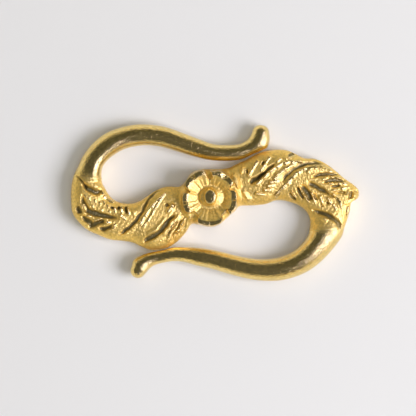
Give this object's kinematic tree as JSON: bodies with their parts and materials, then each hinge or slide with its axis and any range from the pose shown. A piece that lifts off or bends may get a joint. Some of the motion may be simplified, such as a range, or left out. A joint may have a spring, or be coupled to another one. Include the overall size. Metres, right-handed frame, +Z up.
{
  "type": "s-hook clasp",
  "caption": "Cast S-hook clasp: two open hooks on a flat-backed bar with leaves in relief and a petalled flower.",
  "frame": {"origin": "centre of the underside's bounding rectangle, on the surface that the clasp lies on", "axes": "+X along the clasp towards the leaf point at its right end, +Y towards the upper hook, +Z up out of the carved face"},
  "size_m": [0.0303, 0.0165, 0.0034],
  "materials": {
    "gold_plated_brass": "warm gold plate over a polished casting with fine pits"
  },
  "bodies": {
    "root": {"s_hook": "gold_plated_brass"}
  },
  "joints": []
}
